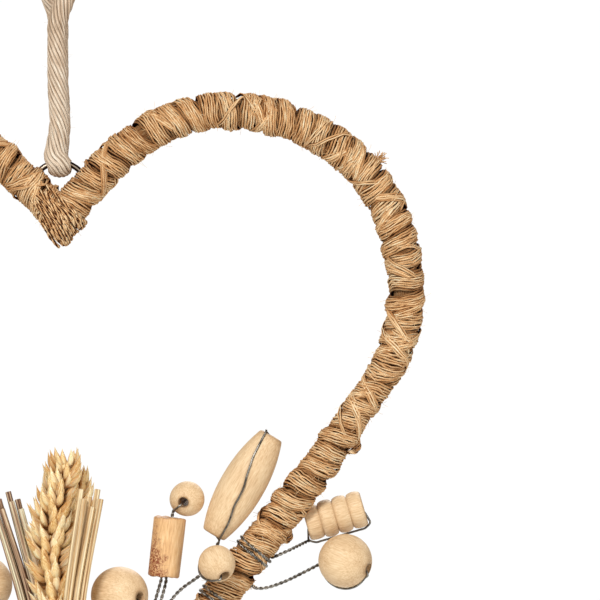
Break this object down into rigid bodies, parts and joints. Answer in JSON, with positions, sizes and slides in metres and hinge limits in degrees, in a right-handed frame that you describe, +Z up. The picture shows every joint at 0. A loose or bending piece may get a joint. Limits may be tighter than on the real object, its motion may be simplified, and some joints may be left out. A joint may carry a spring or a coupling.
{
  "type": "hanging heart decoration",
  "caption": "Hanging heart: a yarn-wound heart frame on a doubled cotton cord through a ring, with wheat ears, straws and wooden beads on twisted wires tied to its lower half",
  "frame": {"origin": "the point under the cord's knot, inside the loop, that rests on the wall hook", "axes": "+Z up along the cord, +X to the right as seen from the front, the front faces -Y"},
  "size_m": [0.2315, 0.0352, 0.3224],
  "materials": {
    "jute": "rough plied jute yarn, wound",
    "cotton": "twisted natural cotton",
    "dark_ring": "polished, darkened",
    "steel_wire": "drawn, satin",
    "twig_wood": "cut twig, part of the bark left on, raw",
    "bead_wood": "turned and sanded, raw",
    "wheat": "dried wheat ear, matt",
    "straw": "dried straw, satin"
  },
  "bodies": {
    "root": {"barrel_bead_left": "bead_wood", "barrel_bead_right": "bead_wood", "barrel_wire_left": "steel_wire", "barrel_wire_right": "steel_wire", "cord_knot": "cotton", "hanging_cord": "cotton", "hanging_ring": "dark_ring", "heart_winding": "jute", "large_bead_left": "bead_wood", "large_bead_right": "bead_wood", "large_wire_left": "steel_wire", "large_wire_right": "steel_wire", "middle_bead_left": "bead_wood", "middle_bead_right": "bead_wood", "middle_wire_left": "steel_wire", "middle_wire_right": "steel_wire", "ribbed_bead_left": "bead_wood", "ribbed_bead_right": "bead_wood", "ribbed_wire_left": "steel_wire", "ribbed_wire_right": "steel_wire", "round_bead_left": "bead_wood", "round_bead_right": "bead_wood", "round_wire_left": "steel_wire", "round_wire_right": "steel_wire", "small_bead_left": "bead_wood", "small_bead_right": "bead_wood", "small_wire_left": "steel_wire", "small_wire_right": "steel_wire", "stem_binding": "jute", "straw_left_1": "straw", "straw_left_2": "straw", "straw_left_3": "straw", "straw_left_4": "straw", "straw_left_5": "straw", "straw_left_6": "straw", "straw_left_7": "straw", "straw_left_8": "straw", "straw_right_1": "straw", "straw_right_2": "straw", "straw_right_3": "straw", "straw_right_4": "straw", "straw_right_5": "straw", "straw_right_6": "straw", "twig_bead_left": "twig_wood", "twig_bead_right": "twig_wood", "twig_wire_left": "steel_wire", "twig_wire_right": "steel_wire", "wheat_ear_back": "wheat", "wheat_ear_front": "wheat"}
  },
  "joints": []
}
